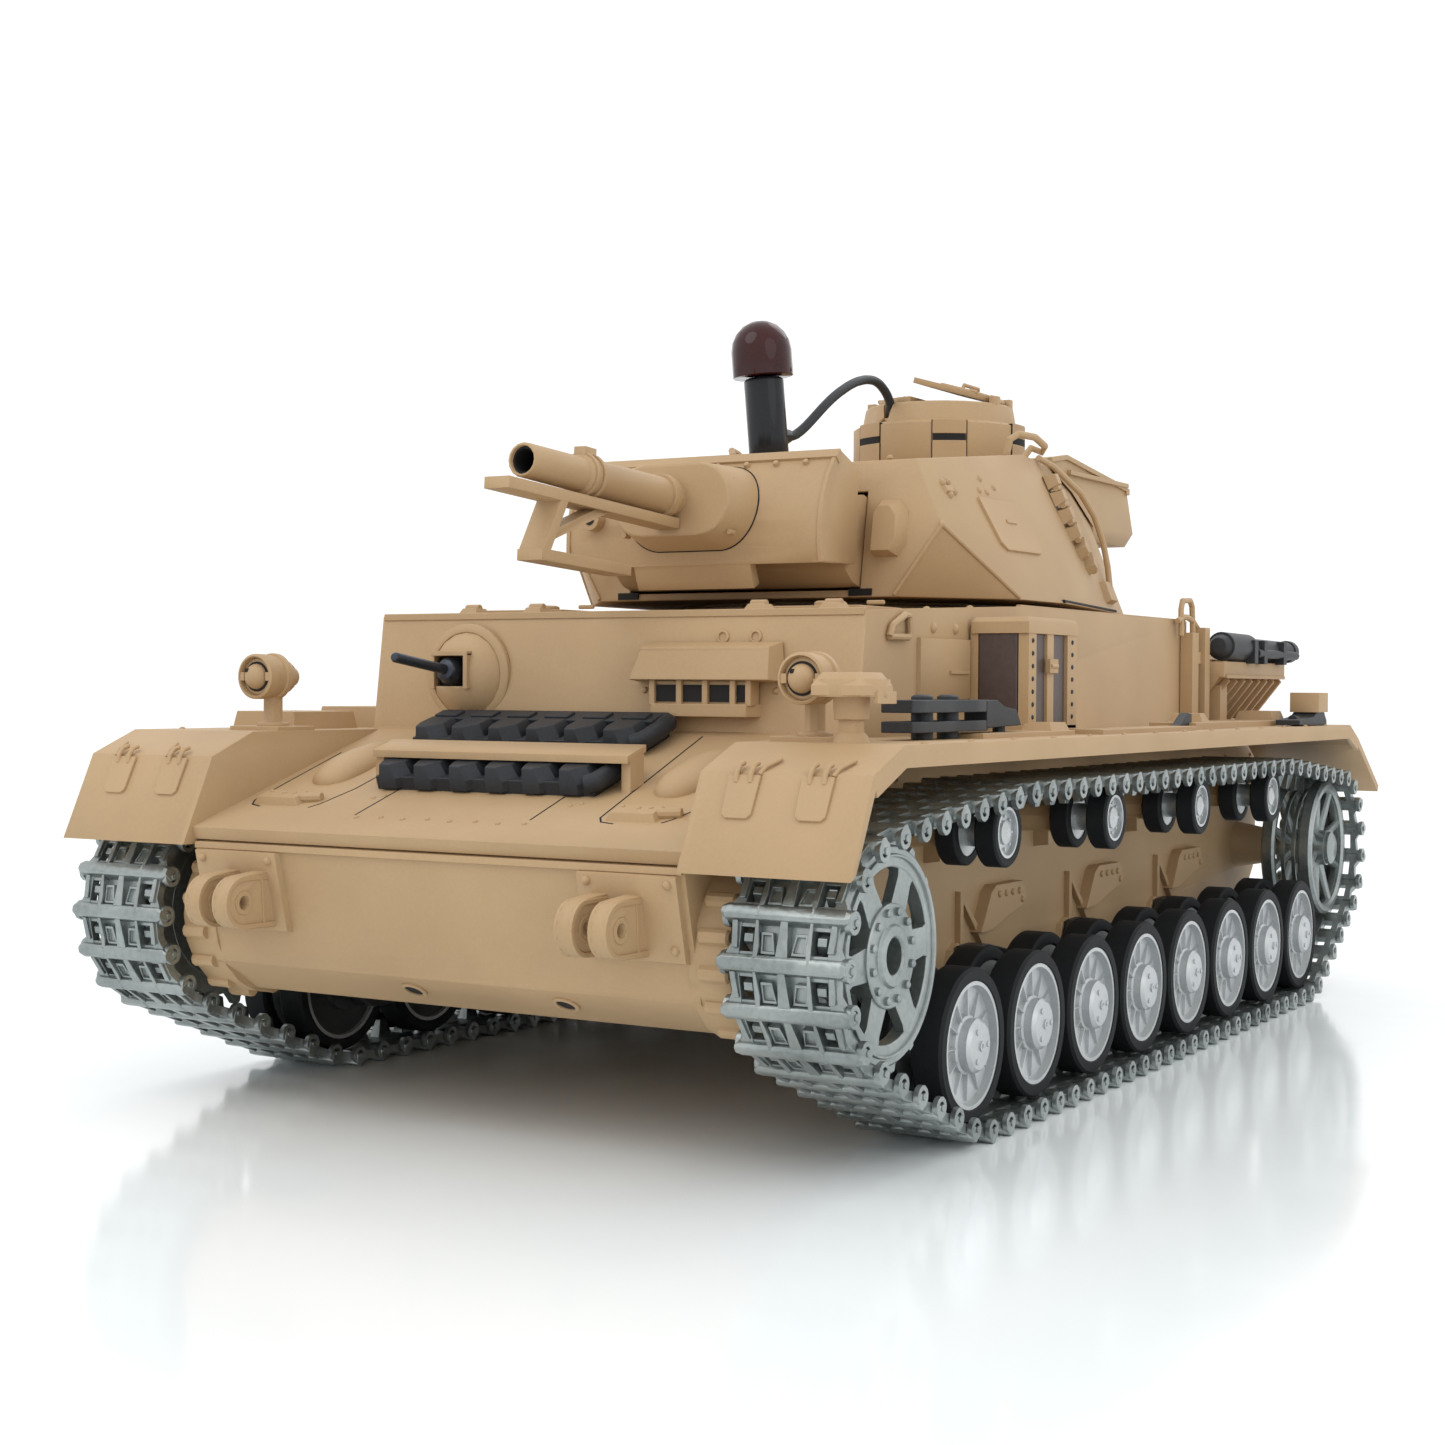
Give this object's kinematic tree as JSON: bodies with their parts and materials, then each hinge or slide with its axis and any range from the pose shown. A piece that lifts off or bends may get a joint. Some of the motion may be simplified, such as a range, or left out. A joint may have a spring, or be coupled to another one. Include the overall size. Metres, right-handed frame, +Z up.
{
  "type": "radio controlled model tank",
  "caption": "Sand-coloured radio-controlled model tank with a turning turret, short gun, metal tracks, sprung road wheels and a beacon on the turret roof.",
  "frame": {"origin": "on the ground, under the centre of the whole model's box", "axes": "+X to the tank's left, -Y forward along the gun, +Z up"},
  "size_m": [0.1804, 0.36, 0.175],
  "materials": {
    "sand": "satin moulded sand-coloured plastic",
    "cast_metal": "grey cast metal",
    "wheel_metal": "silver disc with a dark rubber tyre",
    "dark_steel": "dark gunmetal",
    "black_gloss": "glossy black",
    "red_dome": "dark red, clear",
    "cable_black": "black sleeve",
    "board_green": "green circuit board",
    "pack_blue": "blue shrink wrap"
  },
  "bodies": {
    "hull": {"lower_hull": "sand", "upper_hull": "sand", "engine_deck": "sand", "muffler": "sand", "battery_pack": "pack_blue", "control_board": "board_green", "track_left": "cast_metal", "gearbox_left": "dark_steel", "headlight_left": "sand", "track_right": "cast_metal", "gearbox_right": "dark_steel", "headlight_right": "sand"},
    "turret": {"turret_shell": "sand", "stowage_bin": "sand", "cupola": "sand", "beacon_tube": "black_gloss", "beacon_dome": "red_dome", "beacon_cable": "cable_black"},
    "gun": {"gun_mantlet": "sand", "gun_barrel": "sand", "antenna_deflector": "sand"},
    "lid_left": {"cupola_lid_left": "sand"},
    "lid_right": {"cupola_lid_right": "sand"},
    "bow_gun": {"bow_machine_gun": "dark_steel"},
    "sprocket_left": {"sprocket_left": "cast_metal"},
    "idler_left": {"idler_left": "cast_metal"},
    "roller_left_1": {"return_roller_left_1": "wheel_metal"},
    "roller_left_2": {"return_roller_left_2": "wheel_metal"},
    "roller_left_3": {"return_roller_left_3": "wheel_metal"},
    "roller_left_4": {"return_roller_left_4": "wheel_metal"},
    "bogie_left_1": {"bogie_left_1": "dark_steel"},
    "wheel_left_1": {"road_wheel_left_1": "wheel_metal"},
    "wheel_left_2": {"road_wheel_left_2": "wheel_metal"},
    "bogie_left_2": {"bogie_left_2": "dark_steel"},
    "wheel_left_3": {"road_wheel_left_3": "wheel_metal"},
    "wheel_left_4": {"road_wheel_left_4": "wheel_metal"},
    "bogie_left_3": {"bogie_left_3": "dark_steel"},
    "wheel_left_5": {"road_wheel_left_5": "wheel_metal"},
    "wheel_left_6": {"road_wheel_left_6": "wheel_metal"},
    "bogie_left_4": {"bogie_left_4": "dark_steel"},
    "wheel_left_7": {"road_wheel_left_7": "wheel_metal"},
    "wheel_left_8": {"road_wheel_left_8": "wheel_metal"},
    "sprocket_right": {"sprocket_right": "cast_metal"},
    "idler_right": {"idler_right": "cast_metal"},
    "roller_right_1": {"return_roller_right_1": "wheel_metal"},
    "roller_right_2": {"return_roller_right_2": "wheel_metal"},
    "roller_right_3": {"return_roller_right_3": "wheel_metal"},
    "roller_right_4": {"return_roller_right_4": "wheel_metal"},
    "bogie_right_1": {"bogie_right_1": "dark_steel"},
    "wheel_right_1": {"road_wheel_right_1": "wheel_metal"},
    "wheel_right_2": {"road_wheel_right_2": "wheel_metal"},
    "bogie_right_2": {"bogie_right_2": "dark_steel"},
    "wheel_right_3": {"road_wheel_right_3": "wheel_metal"},
    "wheel_right_4": {"road_wheel_right_4": "wheel_metal"},
    "bogie_right_3": {"bogie_right_3": "dark_steel"},
    "wheel_right_5": {"road_wheel_right_5": "wheel_metal"},
    "wheel_right_6": {"road_wheel_right_6": "wheel_metal"},
    "bogie_right_4": {"bogie_right_4": "dark_steel"},
    "wheel_right_7": {"road_wheel_right_7": "wheel_metal"},
    "wheel_right_8": {"road_wheel_right_8": "wheel_metal"}
  },
  "joints": [
    {"name": "turret_traverse", "type": "hinge", "parent": "hull", "child": "turret", "pos_m": [0, 0.008, 0.1054], "axis": [0, 0, 1], "range_deg": [-160, 160]},
    {"name": "gun_elevation", "type": "hinge", "parent": "turret", "child": "gun", "pos_m": [0, -0.0505, 0.118], "axis": [-1, 0, 0], "range_deg": [-5, 12]},
    {"name": "lid_left_hinge", "type": "hinge", "parent": "turret", "child": "lid_left", "pos_m": [0.0174, 0.055, 0.1619], "axis": [0, 1, 0], "range_deg": [0, 84]},
    {"name": "lid_right_hinge", "type": "hinge", "parent": "turret", "child": "lid_right", "pos_m": [-0.0174, 0.055, 0.1619], "axis": [0, -1, 0], "range_deg": [0, 100]},
    {"name": "bow_gun_elevation", "type": "hinge", "parent": "hull", "child": "bow_gun", "pos_m": [-0.0378, -0.1112, 0.0883], "axis": [-1, 0, 0], "range_deg": [-15, 8]},
    {"name": "sprocket_left_spin", "type": "hinge", "parent": "hull", "child": "sprocket_left", "pos_m": [0.0765, -0.1477, 0.039], "axis": [1, 0, 0], "continuous": true},
    {"name": "idler_left_spin", "type": "hinge", "parent": "hull", "child": "idler_left", "pos_m": [0.0765, 0.1415, 0.04], "axis": [1, 0, 0], "continuous": true},
    {"name": "roller_left_1_spin", "type": "hinge", "parent": "hull", "child": "roller_left_1", "pos_m": [0.0765, -0.09, 0.057], "axis": [1, 0, 0], "continuous": true},
    {"name": "roller_left_2_spin", "type": "hinge", "parent": "hull", "child": "roller_left_2", "pos_m": [0.0765, -0.0305, 0.057], "axis": [1, 0, 0], "continuous": true},
    {"name": "roller_left_3_spin", "type": "hinge", "parent": "hull", "child": "roller_left_3", "pos_m": [0.0765, 0.029, 0.057], "axis": [1, 0, 0], "continuous": true},
    {"name": "roller_left_4_spin", "type": "hinge", "parent": "hull", "child": "roller_left_4", "pos_m": [0.0765, 0.0885, 0.057], "axis": [1, 0, 0], "continuous": true},
    {"name": "bogie_left_1_swing", "type": "hinge", "parent": "hull", "child": "bogie_left_1", "pos_m": [0.0608, -0.12108, 0.026], "axis": [1, 0, 0], "range_deg": [0, 6], "stiffness_Nm_per_rad": 0.4, "springref_deg": -5.73},
    {"name": "wheel_left_1_spin", "type": "hinge", "parent": "bogie_left_1", "child": "wheel_left_1", "pos_m": [0.0765, -0.11008, 0.0182], "axis": [1, 0, 0], "continuous": true},
    {"name": "wheel_left_2_spin", "type": "hinge", "parent": "bogie_left_1", "child": "wheel_left_2", "pos_m": [0.0765, -0.07863, 0.0182], "axis": [1, 0, 0], "continuous": true},
    {"name": "bogie_left_2_swing", "type": "hinge", "parent": "hull", "child": "bogie_left_2", "pos_m": [0.0608, -0.05817, 0.026], "axis": [1, 0, 0], "range_deg": [0, 6], "stiffness_Nm_per_rad": 0.4, "springref_deg": -5.73},
    {"name": "wheel_left_3_spin", "type": "hinge", "parent": "bogie_left_2", "child": "wheel_left_3", "pos_m": [0.0765, -0.04718, 0.0182], "axis": [1, 0, 0], "continuous": true},
    {"name": "wheel_left_4_spin", "type": "hinge", "parent": "bogie_left_2", "child": "wheel_left_4", "pos_m": [0.0765, -0.01572, 0.0182], "axis": [1, 0, 0], "continuous": true},
    {"name": "bogie_left_3_swing", "type": "hinge", "parent": "hull", "child": "bogie_left_3", "pos_m": [0.0608, 0.00473, 0.026], "axis": [1, 0, 0], "range_deg": [0, 6], "stiffness_Nm_per_rad": 0.4, "springref_deg": -5.73},
    {"name": "wheel_left_5_spin", "type": "hinge", "parent": "bogie_left_3", "child": "wheel_left_5", "pos_m": [0.0765, 0.01572, 0.0182], "axis": [1, 0, 0], "continuous": true},
    {"name": "wheel_left_6_spin", "type": "hinge", "parent": "bogie_left_3", "child": "wheel_left_6", "pos_m": [0.0765, 0.04718, 0.0182], "axis": [1, 0, 0], "continuous": true},
    {"name": "bogie_left_4_swing", "type": "hinge", "parent": "hull", "child": "bogie_left_4", "pos_m": [0.0608, 0.06763, 0.026], "axis": [1, 0, 0], "range_deg": [0, 6], "stiffness_Nm_per_rad": 0.4, "springref_deg": -5.73},
    {"name": "wheel_left_7_spin", "type": "hinge", "parent": "bogie_left_4", "child": "wheel_left_7", "pos_m": [0.0765, 0.07863, 0.0182], "axis": [1, 0, 0], "continuous": true},
    {"name": "wheel_left_8_spin", "type": "hinge", "parent": "bogie_left_4", "child": "wheel_left_8", "pos_m": [0.0765, 0.11008, 0.0182], "axis": [1, 0, 0], "continuous": true},
    {"name": "sprocket_right_spin", "type": "hinge", "parent": "hull", "child": "sprocket_right", "pos_m": [-0.0765, -0.1477, 0.039], "axis": [1, 0, 0], "continuous": true},
    {"name": "idler_right_spin", "type": "hinge", "parent": "hull", "child": "idler_right", "pos_m": [-0.0765, 0.1415, 0.04], "axis": [1, 0, 0], "continuous": true},
    {"name": "roller_right_1_spin", "type": "hinge", "parent": "hull", "child": "roller_right_1", "pos_m": [-0.0765, -0.09, 0.057], "axis": [1, 0, 0], "continuous": true},
    {"name": "roller_right_2_spin", "type": "hinge", "parent": "hull", "child": "roller_right_2", "pos_m": [-0.0765, -0.0305, 0.057], "axis": [1, 0, 0], "continuous": true},
    {"name": "roller_right_3_spin", "type": "hinge", "parent": "hull", "child": "roller_right_3", "pos_m": [-0.0765, 0.029, 0.057], "axis": [1, 0, 0], "continuous": true},
    {"name": "roller_right_4_spin", "type": "hinge", "parent": "hull", "child": "roller_right_4", "pos_m": [-0.0765, 0.0885, 0.057], "axis": [1, 0, 0], "continuous": true},
    {"name": "bogie_right_1_swing", "type": "hinge", "parent": "hull", "child": "bogie_right_1", "pos_m": [-0.0608, -0.12108, 0.026], "axis": [1, 0, 0], "range_deg": [0, 6], "stiffness_Nm_per_rad": 0.4, "springref_deg": -5.73},
    {"name": "wheel_right_1_spin", "type": "hinge", "parent": "bogie_right_1", "child": "wheel_right_1", "pos_m": [-0.0765, -0.11008, 0.0182], "axis": [1, 0, 0], "continuous": true},
    {"name": "wheel_right_2_spin", "type": "hinge", "parent": "bogie_right_1", "child": "wheel_right_2", "pos_m": [-0.0765, -0.07863, 0.0182], "axis": [1, 0, 0], "continuous": true},
    {"name": "bogie_right_2_swing", "type": "hinge", "parent": "hull", "child": "bogie_right_2", "pos_m": [-0.0608, -0.05817, 0.026], "axis": [1, 0, 0], "range_deg": [0, 6], "stiffness_Nm_per_rad": 0.4, "springref_deg": -5.73},
    {"name": "wheel_right_3_spin", "type": "hinge", "parent": "bogie_right_2", "child": "wheel_right_3", "pos_m": [-0.0765, -0.04718, 0.0182], "axis": [1, 0, 0], "continuous": true},
    {"name": "wheel_right_4_spin", "type": "hinge", "parent": "bogie_right_2", "child": "wheel_right_4", "pos_m": [-0.0765, -0.01572, 0.0182], "axis": [1, 0, 0], "continuous": true},
    {"name": "bogie_right_3_swing", "type": "hinge", "parent": "hull", "child": "bogie_right_3", "pos_m": [-0.0608, 0.00473, 0.026], "axis": [1, 0, 0], "range_deg": [0, 6], "stiffness_Nm_per_rad": 0.4, "springref_deg": -5.73},
    {"name": "wheel_right_5_spin", "type": "hinge", "parent": "bogie_right_3", "child": "wheel_right_5", "pos_m": [-0.0765, 0.01572, 0.0182], "axis": [1, 0, 0], "continuous": true},
    {"name": "wheel_right_6_spin", "type": "hinge", "parent": "bogie_right_3", "child": "wheel_right_6", "pos_m": [-0.0765, 0.04718, 0.0182], "axis": [1, 0, 0], "continuous": true},
    {"name": "bogie_right_4_swing", "type": "hinge", "parent": "hull", "child": "bogie_right_4", "pos_m": [-0.0608, 0.06763, 0.026], "axis": [1, 0, 0], "range_deg": [0, 6], "stiffness_Nm_per_rad": 0.4, "springref_deg": -5.73},
    {"name": "wheel_right_7_spin", "type": "hinge", "parent": "bogie_right_4", "child": "wheel_right_7", "pos_m": [-0.0765, 0.07863, 0.0182], "axis": [1, 0, 0], "continuous": true},
    {"name": "wheel_right_8_spin", "type": "hinge", "parent": "bogie_right_4", "child": "wheel_right_8", "pos_m": [-0.0765, 0.11008, 0.0182], "axis": [1, 0, 0], "continuous": true}
  ],
  "couplings": [
    {"joint": "idler_left_spin", "follows": "sprocket_left_spin", "ratio": 1.026},
    {"joint": "roller_left_1_spin", "follows": "sprocket_left_spin", "ratio": 2.7361},
    {"joint": "roller_left_2_spin", "follows": "sprocket_left_spin", "ratio": 2.7361},
    {"joint": "roller_left_3_spin", "follows": "sprocket_left_spin", "ratio": 2.7361},
    {"joint": "roller_left_4_spin", "follows": "sprocket_left_spin", "ratio": 2.7361},
    {"joint": "wheel_left_1_spin", "follows": "sprocket_left_spin", "ratio": 1.3133},
    {"joint": "wheel_left_2_spin", "follows": "sprocket_left_spin", "ratio": 1.3133},
    {"joint": "wheel_left_3_spin", "follows": "sprocket_left_spin", "ratio": 1.3133},
    {"joint": "wheel_left_4_spin", "follows": "sprocket_left_spin", "ratio": 1.3133},
    {"joint": "wheel_left_5_spin", "follows": "sprocket_left_spin", "ratio": 1.3133},
    {"joint": "wheel_left_6_spin", "follows": "sprocket_left_spin", "ratio": 1.3133},
    {"joint": "wheel_left_7_spin", "follows": "sprocket_left_spin", "ratio": 1.3133},
    {"joint": "wheel_left_8_spin", "follows": "sprocket_left_spin", "ratio": 1.3133},
    {"joint": "idler_right_spin", "follows": "sprocket_right_spin", "ratio": 1.026},
    {"joint": "roller_right_1_spin", "follows": "sprocket_right_spin", "ratio": 2.7361},
    {"joint": "roller_right_2_spin", "follows": "sprocket_right_spin", "ratio": 2.7361},
    {"joint": "roller_right_3_spin", "follows": "sprocket_right_spin", "ratio": 2.7361},
    {"joint": "roller_right_4_spin", "follows": "sprocket_right_spin", "ratio": 2.7361},
    {"joint": "wheel_right_1_spin", "follows": "sprocket_right_spin", "ratio": 1.3133},
    {"joint": "wheel_right_2_spin", "follows": "sprocket_right_spin", "ratio": 1.3133},
    {"joint": "wheel_right_3_spin", "follows": "sprocket_right_spin", "ratio": 1.3133},
    {"joint": "wheel_right_4_spin", "follows": "sprocket_right_spin", "ratio": 1.3133},
    {"joint": "wheel_right_5_spin", "follows": "sprocket_right_spin", "ratio": 1.3133},
    {"joint": "wheel_right_6_spin", "follows": "sprocket_right_spin", "ratio": 1.3133},
    {"joint": "wheel_right_7_spin", "follows": "sprocket_right_spin", "ratio": 1.3133},
    {"joint": "wheel_right_8_spin", "follows": "sprocket_right_spin", "ratio": 1.3133}
  ]
}
